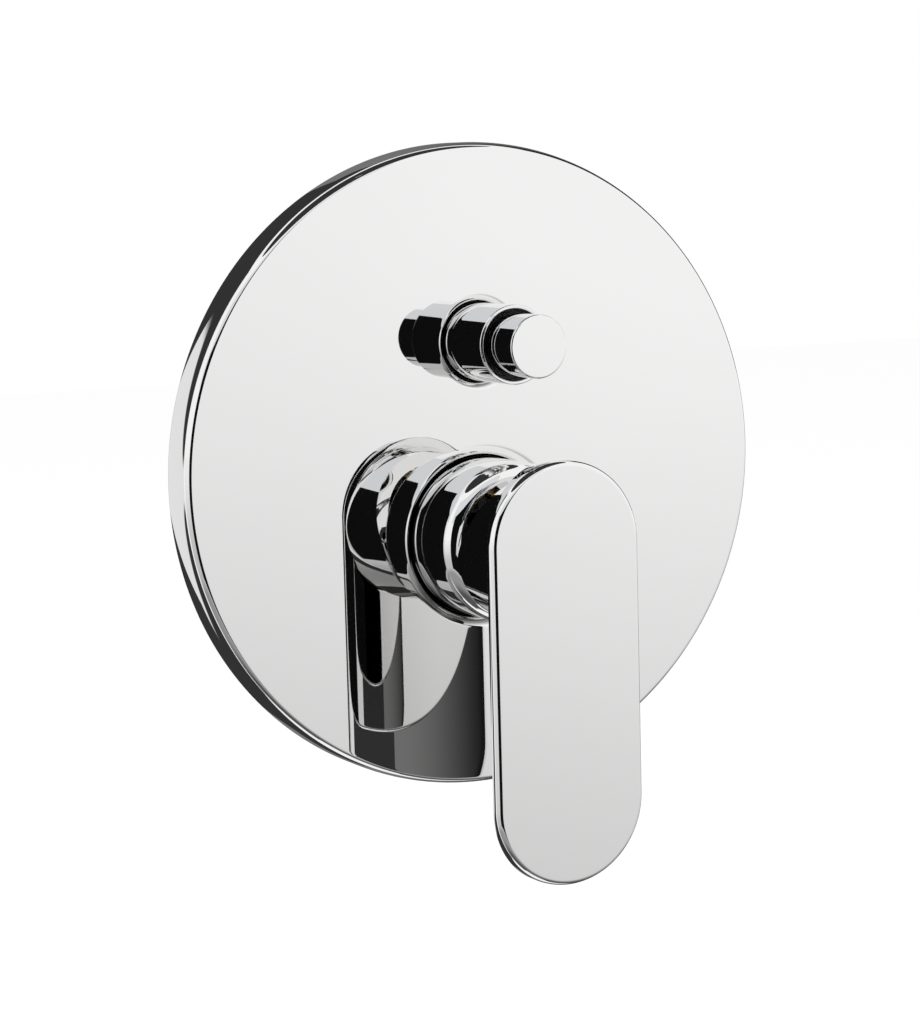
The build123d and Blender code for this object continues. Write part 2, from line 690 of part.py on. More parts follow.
# Spool: short tube with a spoked hub; its two rings close the gallery until the button is pressed
spool_ring_outs = (spool_front - spool_groove_from_end, spool_end + spool_groove_from_end - spool_ring_r)
spool_ring_middle_r = bore_r - spool_ring_clear - spool_ring_r
with BuildPart() as diverter_spool:
    ring(button_axis, spool_r - spool_wall, spool_r, spool_end, spool_front)
    ring(button_axis, 0, spool_hub_r, rod_end, spool_front)
    with BuildSketch(facing(rod_end, button_z)):
        with PolarLocations(spool_r / 2, spoke_count, start_angle=90):
            Rectangle(spool_r - spool_wall, spoke_width)
    extrude(amount=spool_hub_length)
    ring(button_axis, 0, rod_r + rod_fit_clear, rod_end, spool_front, Mode.SUBTRACT)
    for ring_out in spool_ring_outs:
        ring(button_axis, spool_ring_middle_r - spool_ring_r, spool_r, ring_out - spool_groove_width / 2,
             ring_out + spool_groove_width / 2, Mode.SUBTRACT)

with BuildPart() as spool_o_rings:
    for ring_out in spool_ring_outs:
        o_ring(button_axis, spool_ring_middle_r, ring_out, spool_ring_r - rod_fit_clear)

with BuildPart() as spool_seat_washer:
    ring(button_axis, 0, bore_r - washer_clear, bore_end, bore_end + washer_thick)

# Return spring: wire helix between the bonnet's pocket and the button's face
with BuildPart() as return_spring:
    spring_low = spring_pocket_floor + spring_wire_r + spring_end_clear
    spring_high = button_out - button_wall - spring_wire_r - spring_end_clear
    with BuildLine() as coil:
        Helix((spring_high - spring_low) / spring_turns, spring_high - spring_low, spring_r,
              center=(0, -spring_low, button_z), direction=(0, -1, 0))
    with BuildSketch(Plane(origin=coil.line @ 0, z_dir=coil.line % 0)):
        Circle(spring_wire_r)
    sweep(path=coil.line, is_frenet=True)

pieces = {
    "cover_plate": cover_plate,
    "wall_gasket": wall_gasket,
    "shroud": shroud,
    "shroud_gasket": shroud_gasket,
    "shroud_o_ring": shroud_o_ring,
    "valve_body": valve_body,
    "retaining_nut": retaining_nut,
    "cartridge_housing": cartridge_housing,
    "cartridge_base": cartridge_base,
    "base_seals": base_seals,
    "fixed_disc": fixed_disc,
    "moving_disc": moving_disc,
    "disc_driver": disc_driver,
    "rotating_guide": rotating_guide,
    "pivot_pin": pivot_pin,
    "cartridge_stem": cartridge_stem,
    "lever_handle": lever_handle,
    "grub_screw": grub_screw,
    "grub_screw_plug": grub_screw_plug,
    "diverter_bonnet": diverter_bonnet,
    "bonnet_o_ring": bonnet_o_ring,
    "rod_o_ring": rod_o_ring,
    "diverter_sleeve": diverter_sleeve,
    "button_bush": button_bush,
    "sleeve_gasket": sleeve_gasket,
    "diverter_button": diverter_button,
    "diverter_rod": diverter_rod,
    "diverter_spool": diverter_spool,
    "spool_o_rings": spool_o_rings,
    "spool_seat_washer": spool_seat_washer,
    "return_spring": return_spring,
}

os.makedirs("parts", exist_ok=True)
for name, piece in pieces.items():
    piece.part.label = name
    export_step(piece.part, f"parts/{name}.step")
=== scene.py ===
import json
import math

import bmesh
import bpy
from mathutils import Matrix, Vector
from mathutils.geometry import tessellate_polygon


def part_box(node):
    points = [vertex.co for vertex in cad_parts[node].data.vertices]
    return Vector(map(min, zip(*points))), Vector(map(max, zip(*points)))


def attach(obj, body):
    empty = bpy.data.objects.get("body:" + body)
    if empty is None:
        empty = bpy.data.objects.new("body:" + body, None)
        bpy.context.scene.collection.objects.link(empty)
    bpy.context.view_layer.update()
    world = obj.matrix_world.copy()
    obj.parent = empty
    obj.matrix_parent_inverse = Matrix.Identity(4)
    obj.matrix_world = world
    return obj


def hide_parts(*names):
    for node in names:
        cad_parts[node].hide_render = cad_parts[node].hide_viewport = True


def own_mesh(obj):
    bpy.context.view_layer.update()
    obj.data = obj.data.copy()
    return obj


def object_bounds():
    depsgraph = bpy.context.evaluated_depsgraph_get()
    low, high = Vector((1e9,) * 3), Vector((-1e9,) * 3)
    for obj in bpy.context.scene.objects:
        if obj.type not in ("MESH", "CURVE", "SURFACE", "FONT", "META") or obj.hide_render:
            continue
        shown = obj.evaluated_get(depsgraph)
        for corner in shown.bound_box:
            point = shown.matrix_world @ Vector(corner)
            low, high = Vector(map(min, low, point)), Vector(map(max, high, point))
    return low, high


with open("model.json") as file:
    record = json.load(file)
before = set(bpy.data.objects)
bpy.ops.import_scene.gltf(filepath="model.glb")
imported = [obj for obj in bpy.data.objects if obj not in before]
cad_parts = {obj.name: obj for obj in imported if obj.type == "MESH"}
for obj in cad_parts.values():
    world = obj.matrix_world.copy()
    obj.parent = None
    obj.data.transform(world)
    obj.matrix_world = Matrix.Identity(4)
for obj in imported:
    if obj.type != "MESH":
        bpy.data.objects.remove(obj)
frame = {"nodes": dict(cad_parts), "record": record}
cad_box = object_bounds()
scene = bpy.context.scene

# Camera, as fitted to the photograph: it stands to the left of the plate and a little above it
IMAGE_HEIGHT = 1030
FOCAL_PIXELS = 2799.5
SENSOR = 36.0
CAMERA_AZIMUTH = math.radians(-28.488)
CAMERA_ELEVATION = math.radians(7.025)
CAMERA_ROLL = math.radians(-1.475)
CAMERA_DISTANCE = 0.7273
CAMERA_TARGET = Vector((-0.001098, 0.0, -0.013434))

# Floor: below the lowest point of the part
FLOOR_DROP = 0.35
FLOOR_HALF = 6.0
FLOOR_COLOUR = 0.80
FLOOR_LIFT = 0.42

# Studio: white all round, with cards that only mirrors see, on a large sphere round the part
WHITE = (1, 1, 1, 1)
ROOM_LEVEL = 0.70
CARD_RADIUS = 4.0
CARD_STEP = 0.1
CARD_GRID = 5.0
KEY_PLACE = Vector((-0.9, -1.6, 1.7))
KEY_SIZE = 1.6
KEY_WATTS = 26.0

# Light of the cards, where 1 is white. Angles are in degrees, as in add_card. A fade is two angles and the
# level at each of them. The low card's fades up and down leave out the upper level, which is 1. The window's
# half height changes in the same way, from one angle to another
BLACK_LEVEL = 0.005
DARK_LEVEL = 0.035
GREY_LEVEL = 0.80
GREY_TINT = (0.95, 0.97, 1, 1)
WINDOW_LEVEL = 0.83
WINDOW_ELEVATION = -5.0
WINDOW_SOFT = 2.0
WINDOW_HALF_HEIGHT = (-158.0, -124.0, 23.0, 5.0)
LOW_FADES = ((-24.0, 2.0, 0.60), (-34.0, -26.0, 0.55), (-60.0, -40.0, 0.30))
LOW_SIDE_FADE = (18.0, 36.0, 0.94, 1.03)
CORNER_FADE = (120.0, 165.0, 0.01, 0.19)

# Materials: the range that a noise texture mostly takes, and how far a plastic's roughness strays
NOISE_LOW = 0.3
NOISE_HIGH = 0.7
PLASTIC_SPREAD = 0.06

MM = 0.001

# Pipe thread in the ports: half-inch parallel pitch, cut shallow. The ridge's half width is a share of the
# pitch, and its height at both ends a share of the depth
THREAD_PITCH = 1.814 * MM
THREAD_DEPTH = 0.45 * MM
THREAD_SINK = 0.03 * MM
THREAD_HALF_WIDTH = 0.45
THREAD_END = 0.05
THREAD_STEPS = 72

# Plate: a pressed cap. Its rim falls away from the face in a quarter of an ellipse. Each hole gives the node
# that goes through it, the gap round that node, and the radius of the hole's rolled edge
PLATE_WALL = 1.6 * MM
RIM_EDGE_WIDTH = 1.9 * MM
RIM_EDGE_DEPTH = 4.5 * MM
RIM_BACK_EDGE = 0.5 * MM
RIM_INNER_EDGE = 1.2 * MM
HOLES = (("shroud", 0.2 * MM, 3.0 * MM), ("diverter_sleeve", 0.25 * MM, 2.0 * MM))
COLLAR_LAND = 0.6 * MM
FLAT_MARGIN = 0.4 * MM

# Lever: flat face, soft edges, cambered back on a round hub that is cut away above its axis. An edge is its
# width and its depth. The socket's boss sinks a little into the hub, and the hub ends inside the blade, a
# skin below the face
BLADE_FACE_EDGE = (1.5 * MM, 2.5 * MM)
BLADE_BACK_EDGE = (2.4 * MM, 0.4 * MM)
BLADE_CENTRE_THICK = 5.5 * MM
BLADE_CAMBER = 2.6 * MM
HUB_R = 19.3 * MM
HUB_WALL = 3.2 * MM
HUB_POCKET = 10.0 * MM
HUB_FILLET = 1.2 * MM
HUB_CUT_START = -2.0 * MM
HUB_CUT_SLOPE = math.tan(math.radians(27.0))
SOCKET_BOSS = 15.0 * MM
SOCKET = 8.1 * MM
SINK = 0.05 * MM
HUB_SKIN = 1.5 * MM

# Return spring of the button
SPRING_WIRE_R = 0.55 * MM
SPRING_TURNS = 7
SPRING_STEPS = 48
WIRE_STEPS = 10

# Fineness of the turned and swept pieces
RIM_STEPS = 720
HOLE_STEPS = 300
EDGE_STEPS = 26
BACK_EDGE_STEPS = 6
ROLL_STEPS = 8
BLADE_STEPS = 120
SIDE_STEPS = 40
BACK_STEPS = 24

# Points nearer than this become one, and edges steeper than this stay sharp
WELD = 1e-6
SHARP_ANGLE = math.radians(35.0)

# Corners of a square with its middle at zero
SQUARE = ((1, 1), (-1, 1), (-1, -1), (1, -1))


def add_camera():
    """Camera at the photograph's angle, with its slight roll."""
    level = math.cos(CAMERA_ELEVATION)
    back = Vector((math.sin(CAMERA_AZIMUTH) * level, -math.cos(CAMERA_AZIMUTH) * level,
                   math.sin(CAMERA_ELEVATION)))
    right = (-back).cross(Vector((0, 0, 1))).normalized()
    up = right.cross(-back)
    rolled_right = right * math.cos(CAMERA_ROLL) + up * math.sin(CAMERA_ROLL)
    rolled_up = up * math.cos(CAMERA_ROLL) - right * math.sin(CAMERA_ROLL)
    place = CAMERA_TARGET + back * CAMERA_DISTANCE
    data = bpy.data.cameras.new("photo_camera")
    data.sensor_fit = "VERTICAL"
    data.sensor_height = SENSOR
    data.lens = FOCAL_PIXELS * SENSOR / IMAGE_HEIGHT
    data.clip_start = 0.01
    data.clip_end = 100.0
    camera = bpy.data.objects.new("photo_camera", data)
    scene.collection.objects.link(camera)
    camera.matrix_world = Matrix((
        (rolled_right.x, rolled_up.x, back.x, place.x),
        (rolled_right.y, rolled_up.y, back.y, place.y),
        (rolled_right.z, rolled_up.z, back.z, place.z),
        (0, 0, 0, 1),
    ))
    scene.camera = camera


class Nodes:
    """Short way to write a node tree: each call adds one node and links or sets its inputs."""

    def __init__(self, tree):
        self.tree = tree
        tree.nodes.clear()

    def add(self, kind, settings=None, **inputs):
        """Adds a node. An input's name has _ for each space, or is i and the input's number."""
        node = self.tree.nodes.new(kind)
        for name, value in (settings or {}).items():
            setattr(node, name, value)
        for name, value in inputs.items():
            key = int(name[1:]) if name[0] == "i" and name[1:].isdigit() else name.replace("_", " ")
            self.feed(node.inputs[key], value)
        return node

    def feed(self, socket, value):
        if isinstance(value, bpy.types.NodeSocket):
            self.tree.links.new(value, socket)
        else:
            socket.default_value = value

    def math(self, operation, a, b=0.0):
        return self.add("ShaderNodeMath", {"operation": operation}, i0=a, i1=b).outputs[0]

    def step(self, value, low, high, start=0.0, end=1.0):
        """Goes from start to end, smoothly, as the value goes from low to high."""
        node = self.add("ShaderNodeMapRange", {"interpolation_type": "SMOOTHSTEP"}, Value=value,
                        From_Min=low, From_Max=high, To_Min=start, To_Max=end)
        return node.outputs[0]

    def vary(self, noise, start, end):
        """Goes from start to end over the range that noise mostly takes."""
        return self.step(noise, NOISE_LOW, NOISE_HIGH, start, end)

    def noise(self, place, scale, detail=3.0):
        return self.add("ShaderNodeTexNoise", Vector=place, Scale=scale, Detail=detail).outputs[0]

    def blend(self, factor, low, high):
        """Colour between two colours."""
        node = self.add("ShaderNodeMix", {"data_type": "RGBA"}, i0=factor, i6=low, i7=high)
        return node.outputs[2]

    def bump(self, height, distance, strength=1.0):
        return self.add("ShaderNodeBump", Height=height, Distance=distance, Strength=strength).outputs[0]

    def object_place(self):
        return self.add("ShaderNodeTexCoord").outputs["Object"]

    def seen_ray(self):
        """1 for rays from the camera, off a mirror or through glass, and 0 for all others."""
        path = self.add("ShaderNodeLightPath").outputs
        seen = self.math("MAXIMUM", path["Is Camera Ray"], path["Is Glossy Ray"])
        return self.math("MAXIMUM", seen, path["Is Transmission Ray"])

    def surface(self, shader):
        self.add("ShaderNodeOutputMaterial", Surface=shader.outputs[0])

    def principled(self, **inputs):
        self.surface(self.add("ShaderNodeBsdfPrincipled", **inputs))

    def glow(self, level, colour=WHITE):
        """Surface that only gives light."""
        self.surface(self.add("ShaderNodeEmission", Color=colour, Strength=level))


def new_material(name):
    """Empty node material, and its nodes."""
    material = bpy.data.materials.new(name)
    material.use_nodes = True
    return material, Nodes(material.node_tree)


def new_object(name, points, faces):
    mesh = bpy.data.meshes.new(name)
    mesh.from_pydata(points, [], faces)
    thing = bpy.data.objects.new(name, mesh)
    scene.collection.objects.link(thing)
    return thing


def build_world():
    """White surround to the camera, to mirrors and to glass; a plain soft light to everything else."""
    world = bpy.data.worlds.new("studio")
    scene.world = world
    world.use_nodes = True
    n = Nodes(world.node_tree)
    white = n.add("ShaderNodeBackground", Color=WHITE, Strength=1.0)
    light = n.add("ShaderNodeBackground", Color=WHITE, Strength=ROOM_LEVEL)
    mixed = n.add("ShaderNodeMixShader", i0=n.seen_ray(), i1=light.outputs[0], i2=white.outputs[0])
    n.add("ShaderNodeOutputWorld", Surface=mixed.outputs[0])


def add_key_light():
    """One large soft lamp in front, above on the left; mirrors see the white surround in its place."""
    data = bpy.data.lights.new("key_light", "AREA")
    data.shape = "DISK"
    data.size = KEY_SIZE
    data.energy = KEY_WATTS
    lamp = bpy.data.objects.new("key_light", data)
    lamp.location = KEY_PLACE
    lamp.rotation_euler = (-KEY_PLACE).to_track_quat("-Z", "Y").to_euler()
    lamp.visible_glossy = False
    scene.collection.objects.link(lamp)


def plain_card_paint(name, level, colour=WHITE):
    """One level all over."""
    material, n = new_material(name)
    n.glow(level, colour)
    return material


def card_angles(n):
    """Azimuth and elevation of a place on a card, in degrees."""
    ray = n.add("ShaderNodeVectorMath", {"operation": "NORMALIZE"}, i0=n.object_place()).outputs[0]
    x, y, z = n.add("ShaderNodeSeparateXYZ", Vector=ray).outputs
    azimuth = n.math("ARCTAN2", x, n.math("MULTIPLY", y, -1.0))
    return n.math("DEGREES", azimuth), n.math("DEGREES", n.math("ARCSINE", z))


def window_card_paint():
    """Pale window in a dark wall, which narrows towards the part's side."""
    material, n = new_material("window_card_paint")
    azimuth, elevation = card_angles(n)
    away = n.math("ABSOLUTE", n.math("SUBTRACT", elevation, WINDOW_ELEVATION))
    outside = n.math("SUBTRACT", away, n.step(azimuth, *WINDOW_HALF_HEIGHT))
    n.glow(n.step(outside, -WINDOW_SOFT, WINDOW_SOFT, WINDOW_LEVEL, DARK_LEVEL))
    return material


def low_card_paint():
    """White wall that greys towards the floor, and a little towards the black card in front."""
    material, n = new_material("low_card_paint")
    azimuth, elevation = card_angles(n)
    level = n.step(azimuth, *LOW_SIDE_FADE)
    for low, high, share in LOW_FADES:
        level = n.math("MULTIPLY", level, n.step(elevation, low, high, share, 1.0))
    n.glow(n.math("MINIMUM", level, 1.0))
    return material


def corner_card_paint():
    """Dim wall that darkens away from the part's back."""
    material, n = new_material("corner_card_paint")
    azimuth, _ = card_angles(n)
    n.glow(n.step(azimuth, *CORNER_FADE))
    return material


def add_card(name, azimuths, elevations, layer, paint):
    """Patch of a large sphere, in degrees, where azimuth 0 is straight in front and 90 is on the right.
    Only mirrors see it, and a lower layer stands in front of a higher one."""
    radius = CARD_RADIUS + layer * CARD_STEP
    columns = math.ceil((azimuths[1] - azimuths[0]) / CARD_GRID)
    rows = math.ceil((elevations[1] - elevations[0]) / CARD_GRID)
    points = []
    for row in range(rows + 1):
        up = math.radians(elevations[0] + (elevations[1] - elevations[0]) * row / rows)
        for column in range(columns + 1):
            round_by = math.radians(azimuths[0] + (azimuths[1] - azimuths[0]) * column / columns)
            points.append((radius * math.sin(round_by) * math.cos(up),
                           -radius * math.cos(round_by) * math.cos(up), radius * math.sin(up)))
    faces = []
    for row in range(rows):
        for column in range(columns):
            first = row * (columns + 1) + column
            faces.append((first, first + 1, first + columns + 2, first + columns + 1))
    card = new_object(name, points, faces)
    card.data.materials.append(paint)
    card.visible_camera = False
    card.visible_diffuse = False
    card.visible_transmission = False
    card.visible_shadow = False


def add_cards():
    """Grey and black cards that give polished metal its edges."""
    black = plain_card_paint("black_card_paint", BLACK_LEVEL)
    dark = plain_card_paint("dark_card_paint", DARK_LEVEL)
    grey = plain_card_paint("grey_card_paint", GREY_LEVEL, GREY_TINT)
    add_card("front_black_card", (-60.0, 7.0), (-27.0, 27.0), 0, black)
    add_card("front_grey_card", (-75.0, 20.0), (20.0, 46.0), 1, grey)
    add_card("low_card", (-110.0, 110.0), (-80.0, 2.0), 1, low_card_paint())
    add_card("ceiling_card", (-180.0, 180.0), (58.0, 89.0), 1, dark)
    add_card("back_right_card", (100.0, 165.0), (-60.0, 50.0), 2, corner_card_paint())
    add_card("back_dark_card", (165.0, 195.0), (-60.0, 50.0), 2, dark)
    add_card("back_left_card", (-165.0, -118.0), (-60.0, 50.0), 2, window_card_paint())


def add_floor():
    """Plain pale floor under the part, a little lifted where it is seen, so that it reads as white."""
    low = cad_box[0][2] - FLOOR_DROP
    corners = [(across * FLOOR_HALF, along * FLOOR_HALF, low) for across, along in SQUARE]
    floor = new_object("floor", corners, [(0, 1, 2, 3)])
    material, n = new_material("floor_paint")
    paint = n.add("ShaderNodeBsdfDiffuse", Color=(FLOOR_COLOUR, FLOOR_COLOUR, FLOOR_COLOUR, 1))
    lift = n.add("ShaderNodeEmission", Color=WHITE, Strength=n.math("MULTIPLY", n.seen_ray(), FLOOR_LIFT))
    n.surface(n.add("ShaderNodeAddShader", i0=paint.outputs[0], i1=lift.outputs[0]))
    floor.data.materials.append(material)
    floor.visible_glossy = False


def chrome():
    """Polished chrome plate: a mirror with a breath of uneven polish."""
    material, n = new_material("chrome_plate")
    place = n.object_place()
    polish = n.vary(n.noise(place, 260.0), 0.006, 0.022)
    tone = n.blend(n.noise(place, 35.0), (0.872, 0.870, 0.868, 1), (0.888, 0.886, 0.884, 1))
    n.principled(Base_Color=tone, Metallic=1.0, Roughness=polish)
    return material


def brass():
    """Sand-cast brass: grainy and slightly dulled, paler where it was rubbed."""
    material, n = new_material("cast_brass")
    place = n.object_place()
    grain = n.noise(place, 1400.0, 4.0)
    dull = n.noise(place, 90.0, 4.0)
    tone = n.blend(n.step(dull, 0.35, 0.65), (0.56, 0.40, 0.17, 1), (0.74, 0.57, 0.29, 1))
    n.principled(Base_Color=tone, Metallic=0.8, Roughness=n.vary(dull, 0.42, 0.28),
                 Normal=n.bump(grain, 0.06 * MM, 0.6))
    return material


def steel():
    """Turned stainless steel with fine tool marks."""
    material, n = new_material("turned_steel")
    place = n.object_place()
    marks = n.add("ShaderNodeTexWave", {"bands_direction": "Y"}, Vector=place, Scale=900.0, Distortion=1.5)
    cloud = n.noise(place, 160.0)
    tone = n.blend(cloud, (0.52, 0.53, 0.54, 1), (0.66, 0.665, 0.67, 1))
    n.principled(Base_Color=tone, Metallic=1.0, Roughness=n.vary(cloud, 0.22, 0.34),
                 Normal=n.bump(marks.outputs[1], 0.02 * MM, 0.5))
    return material


def rubber():
    """Black moulded rubber with a faint bloom."""
    material, n = new_material("black_rubber")
    place = n.object_place()
    bloom = n.noise(place, 220.0, 4.0)
    tone = n.blend(n.step(bloom, 0.45, 0.8), (0.018, 0.018, 0.018, 1), (0.05, 0.05, 0.048, 1))
    n.principled(Base_Color=tone, Roughness=n.vary(bloom, 0.55, 0.78),
                 Normal=n.bump(n.noise(place, 3000.0), 0.02 * MM, 0.5))
    return material


def foam():
    """Closed-cell foam with open cut cells; the hollow of each cell is darkened with painted shade."""
    material, n = new_material("grey_foam")
    place = n.object_place()
    cells = n.add("ShaderNodeTexVoronoi", Vector=place, Scale=1100.0).outputs["Distance"]
    # Painted shade: each cell is darker towards its middle, where the bump below sinks it into a hollow
    tone = n.blend(n.step(cells, 0.05, 0.55), (0.035, 0.035, 0.04, 1), (0.13, 0.13, 0.14, 1))
    n.principled(Base_Color=tone, Roughness=0.92, Normal=n.bump(cells, 0.35 * MM, 0.8))
    return material


def plastic(name, low, high, roughness, grain):
    """Moulded plastic: slight shifts of tone and a fine moulded grain."""
    material, n = new_material(name)
    place = n.object_place()
    cloud = n.noise(place, 120.0, 4.0)
    n.principled(Base_Color=n.blend(cloud, low, high),
                 Roughness=n.vary(cloud, roughness - PLASTIC_SPREAD, roughness + PLASTIC_SPREAD),
                 Normal=n.bump(n.noise(place, grain), 0.02 * MM, 0.4))
    return material


class Shell:
    """Points and faces of one piece, made as rings that are joined to each other.
    Heights count out of the wall."""

    def __init__(self):
        self.points = []
        self.faces = []

    def ring(self, places):
        start = len(self.points)
        self.points.extend((x, -out, z) for x, out, z in places)
        return list(range(start, len(self.points)))

    def join(self, first, second):
        count = len(first)
        for i in range(count):
            after = (i + 1) % count
            self.faces.append((first[i], first[after], second[after], second[i]))

    def join_all(self, rings):
        for first, second in zip(rings, rings[1:]):
            self.join(first, second)

    def fill(self, rings):
        """Flat face inside the first ring, with the other rings as its holes."""
        loops = [[Vector(self.points[i]) for i in ring] for ring in rings]
        flat = [i for ring in rings for i in ring]
        for triangle in tessellate_polygon(loops):
            self.faces.append(tuple(flat[i] for i in triangle))

    def turn(self, centre_z, profile, steps, place=None):
        """Rings round the axis at centre_z: one for each radius and height out in the profile.
        A function given as place moves each point."""
        rings = []
        for radius, out in profile:
            places = []
            for step in range(steps):
                angle = 2 * math.pi * step / steps
                places.append((radius * math.sin(angle), out, centre_z + radius * math.cos(angle)))
            rings.append(self.ring([place(*p) for p in places] if place else places))
        self.join_all(rings)
        return rings

    def piece(self, name, body, node, slot):
        """Makes the object, which rides on the body and stands for the node."""
        thing = new_object(name, self.points, self.faces)
        mesh = bmesh.new()
        mesh.from_mesh(thing.data)
        bmesh.ops.remove_doubles(mesh, verts=mesh.verts, dist=WELD)
        bmesh.ops.dissolve_degenerate(mesh, edges=mesh.edges, dist=WELD)
        bmesh.ops.recalc_face_normals(mesh, faces=mesh.faces)
        mesh.to_mesh(thing.data)
        mesh.free()
        thing.data.shade_smooth()
        thing.data.set_sharp_from_angle(angle=SHARP_ANGLE)
        thing.data.materials.append(finishes[slot])
        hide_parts(node)
        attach(thing, body)
        return thing


def quarter(width, depth, steps=EDGE_STEPS):
    """Quarter of an ellipse as pairs of inset and drop, from the flat face to the side, even in slope."""
    pairs = []
    for step in range(steps + 1):
        slope = math.pi / 2 * step / steps
        turn = math.atan2(width * math.sin(slope), depth * math.cos(slope))
        pairs.append((width * (1 - math.sin(turn)), depth * (1 - math.cos(turn))))
    return pairs


def build_plate():
    """Cover plate with its soft rim and the two drawn-in collars."""
    low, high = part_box("cover_plate")
    rim_r = (high[0] - low[0]) / 2
    front = -low[1]
    back = front - PLATE_WALL
    centre_z = (low[2] + high[2]) / 2
    inner_r = rim_r - PLATE_WALL
    profile = [(rim_r - RIM_EDGE_WIDTH - FLAT_MARGIN, front)]
    profile += [(rim_r - inset, front - drop) for inset, drop in quarter(RIM_EDGE_WIDTH, RIM_EDGE_DEPTH)]
    back_edge = quarter(RIM_BACK_EDGE, RIM_BACK_EDGE, BACK_EDGE_STEPS)
    profile += [(rim_r - inset, drop) for inset, drop in reversed(back_edge)]
    profile += [(inner_r, 0.0), (inner_r, back - RIM_INNER_EDGE), (inner_r - RIM_INNER_EDGE, back),
                (inner_r - RIM_INNER_EDGE - FLAT_MARGIN, back)]
    shell = Shell()
    rings = shell.turn(centre_z, profile, RIM_STEPS)
    fronts = [rings[0]]
    backs = [rings[-1]]
    for node, clear, edge in HOLES:
        knob_low, knob_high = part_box(node)
        hole_r = (knob_high[0] - knob_low[0]) / 2 + clear
        roll = quarter(edge - PLATE_WALL, edge - PLATE_WALL, ROLL_STEPS)
        collar_end = front - edge - COLLAR_LAND
        profile = [(hole_r + edge + FLAT_MARGIN, front)]
        profile += [(hole_r + inset, front - drop) for inset, drop in quarter(edge, edge)]
        profile += [(hole_r, collar_end), (hole_r + PLATE_WALL, collar_end)]
        profile += [(hole_r + PLATE_WALL + inset, back - drop) for inset, drop in reversed(roll)]
        profile += [(hole_r + edge + FLAT_MARGIN, back)]
        rings = shell.turn((knob_low[2] + knob_high[2]) / 2, profile, HOLE_STEPS)
        fronts.append(rings[0])
        backs.append(rings[-1])
    shell.fill(fronts)
    shell.fill(backs)
    shell.piece("plate_cap", "body", "cover_plate", "chrome")


def build_lever():
    """Lever blade and its hub, which is hollow behind and cut away above the axis so that it can tip."""
    low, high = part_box("lever_handle")
    half = (high[0] - low[0]) / 2
    front = -low[1]
    rear = -high[1]
    blade_back = front - BLADE_CENTRE_THICK
    top_z = high[2] - half
    low_z = low[2] + half
    hub_low, hub_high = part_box("shroud")
    hub_z = (hub_low[2] + hub_high[2]) / 2
    camber_r = (half ** 2 + BLADE_CAMBER ** 2) / (2 * BLADE_CAMBER)
    face_width, face_depth = BLADE_FACE_EDGE
    back_width, back_depth = BLADE_BACK_EDGE

    def outline(inset):
        """Stadium inside the blade's outline."""
        radius = half - inset
        places = []
        for step in range(BLADE_STEPS + 1):
            angle = math.pi * step / BLADE_STEPS
            places.append((radius * math.cos(angle), top_z + radius * math.sin(angle)))
        places += [(-radius, top_z + (low_z - top_z) * step / SIDE_STEPS) for step in range(1, SIDE_STEPS)]
        for step in range(BLADE_STEPS + 1):
            angle = math.pi * (1 + step / BLADE_STEPS)
            places.append((radius * math.cos(angle), low_z + radius * math.sin(angle)))
        places += [(radius, low_z + (top_z - low_z) * step / SIDE_STEPS) for step in range(1, SIDE_STEPS)]
        return places

    def back_out(x, z):
        """Height of the blade's back: a camber across, rounded off at the outline."""
        inset = half - math.hypot(x, z - min(max(z, low_z), top_z))
        lost = min(1.0, max(0.0, 1 - inset / back_width))
        return (blade_back + camber_r - math.sqrt(camber_r ** 2 - x ** 2)
                + back_depth * (1 - math.sqrt(1 - lost ** 2)))

    shell = Shell()
    rings = [shell.ring([(x, front, z) for x, z in outline(face_width + FLAT_MARGIN)])]
    shell.faces.append(tuple(rings[0]))
    for inset, drop in quarter(face_width, face_depth):
        rings.append(shell.ring([(x, front - drop, z) for x, z in outline(inset)]))
    insets = [inset for inset, drop in reversed(quarter(back_width, back_depth))]
    insets += [back_width + (half - back_width) * step / BACK_STEPS for step in range(1, BACK_STEPS + 1)]
    for inset in insets:
        rings.append(shell.ring([(x, back_out(x, z), z) for x, z in outline(inset)]))
    shell.join_all(rings)

    def cut_away(x, out, z):
        """Moves what lies behind the sloping cut onto it."""
        return x, max(out, rear + HUB_CUT_SLOPE * max(0.0, z - hub_z - HUB_CUT_START)), z

    def on_blade(drop):
        """Puts points at one depth behind the blade's back."""
        return lambda x, out, z: (x, back_out(x, z) - drop, z)

    floor = rear + HUB_POCKET
    pocket_r = HUB_R - HUB_WALL
    pocket = [(0.0, floor), (pocket_r, floor), (pocket_r, rear), (HUB_R, rear)]
    rings = shell.turn(hub_z, pocket, HOLE_STEPS, cut_away)[-1:]
    for inset, drop in reversed(quarter(HUB_FILLET, HUB_FILLET)):
        radius = HUB_R + HUB_FILLET - inset
        rings += shell.turn(hub_z, [(radius, 0.0)], HOLE_STEPS, on_blade(HUB_FILLET - drop))
    rings += shell.turn(hub_z, [(HUB_R, front - HUB_SKIN)], HOLE_STEPS)
    rings += shell.turn(hub_z, [(0.0, front - HUB_SKIN)], HOLE_STEPS)
    shell.join_all(rings)
    socket = ((SOCKET_BOSS, rear), (SOCKET_BOSS, floor + SINK), (SOCKET, floor + SINK), (SOCKET, rear),
              (SOCKET_BOSS, rear))
    rings = []
    for width, out in socket:
        rings.append(shell.ring([cut_away(across * width / 2, out, hub_z + up * width / 2)
                                 for across, up in SQUARE]))
    shell.join_all(rings)
    shell.piece("lever_casting", "lever", "lever_handle", "chrome")


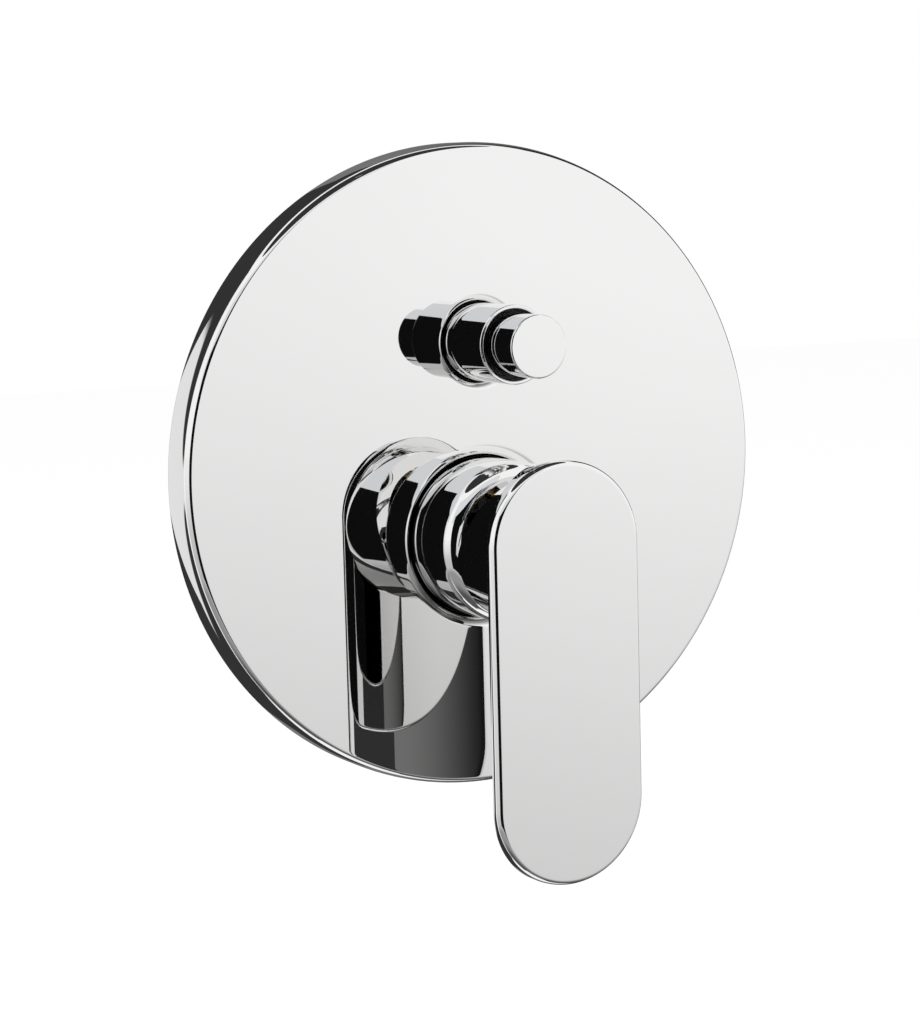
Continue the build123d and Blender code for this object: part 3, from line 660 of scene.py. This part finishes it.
def build_spring():
    """Return spring of the button, a coil of round wire."""
    low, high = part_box("return_spring")
    coil_r = (high[0] - low[0]) / 2 - SPRING_WIRE_R
    centre_z = (low[2] + high[2]) / 2
    start = -high[1] + SPRING_WIRE_R
    length = high[1] - low[1] - 2 * SPRING_WIRE_R
    slope = math.atan2(length, SPRING_TURNS * 2 * math.pi * coil_r)
    shell = Shell()
    rings = []
    for step in range(SPRING_TURNS * SPRING_STEPS + 1):
        angle = 2 * math.pi * step / SPRING_STEPS
        middle = start + length * step / (SPRING_TURNS * SPRING_STEPS)
        places = []
        for corner in range(WIRE_STEPS):
            turn = 2 * math.pi * corner / WIRE_STEPS
            radius = coil_r + SPRING_WIRE_R * math.cos(turn)
            rise = SPRING_WIRE_R * math.sin(turn)
            lean = angle - rise * math.sin(slope) / coil_r
            places.append((radius * math.sin(lean), middle + rise * math.cos(slope),
                           centre_z + radius * math.cos(lean)))
        rings.append(shell.ring(places))
    shell.join_all(rings)
    shell.faces += [tuple(rings[0]), tuple(rings[-1])]
    spring = shell.piece("button_spring", "body", "return_spring", "steel")
    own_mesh(spring)


def add_port_threads():
    """Helical ridge on the wall of each pipe port, faded out at both ends."""
    for mount in frame["record"]["mounts"]:
        if mount["kind"] != "threaded_hole":
            continue
        wall = mount["dims"]["r_mm"] * MM
        length = mount["dims"]["length_mm"] * MM - 2 * THREAD_PITCH
        axis = Vector(mount["axis"])
        side = axis.orthogonal().normalized()
        other = axis.cross(side)
        steps = round(length / THREAD_PITCH * THREAD_STEPS)
        points = []
        for step in range(steps + 1):
            turn = 2 * math.pi * step / THREAD_STEPS
            fade = min(1.0, 2 * step / THREAD_STEPS, 2 * (steps - step) / THREAD_STEPS)
            outward = side * math.cos(turn) + other * math.sin(turn)
            middle = Vector(mount["pos_m"]) + axis * (length * (step / steps - 0.5))
            root = outward * (wall + THREAD_SINK)
            flank = axis * THREAD_PITCH * THREAD_HALF_WIDTH
            points.append(middle + root - flank)
            points.append(middle + outward * (wall - max(THREAD_END, fade) * THREAD_DEPTH))
            points.append(middle + root + flank)
        faces = [(2, 1, 0), tuple(3 * steps + corner for corner in range(3))]
        for step in range(steps):
            for corner in range(3):
                first = 3 * step + corner
                second = 3 * step + (corner + 1) % 3
                faces.append((first, second, second + 3, first + 3))
        thread = new_object(mount["name"] + "_thread", points, faces)
        thread.data.materials.append(finishes["brass"])
        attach(thread, "body")


scene.view_settings.view_transform = "Standard"
add_camera()
build_world()
add_key_light()
add_cards()
add_floor()

finishes = {
    "chrome": chrome(),
    "brass": brass(),
    "steel": steel(),
    "rubber": rubber(),
    "foam": foam(),
    "cartridge_plastic": plastic("white_acetal", (0.70, 0.70, 0.67, 1), (0.84, 0.84, 0.81, 1), 0.42, 900.0),
    "guide_plastic": plastic("black_nylon", (0.012, 0.012, 0.013, 1), (0.035, 0.035, 0.037, 1),
                             0.45, 1200.0),
    "plug_plastic": plastic("grey_plug", (0.50, 0.51, 0.52, 1), (0.64, 0.65, 0.66, 1), 0.30, 700.0),
    "ceramic": plastic("lapped_alumina", (0.80, 0.79, 0.75, 1), (0.90, 0.89, 0.86, 1), 0.22, 2400.0),
}
for row in frame["record"]["subparts"]:
    node = frame["nodes"][row["node"]]
    node.data.materials.clear()
    node.data.materials.append(finishes[row["material_slot"]])
build_plate()
build_lever()
build_spring()
add_port_threads()
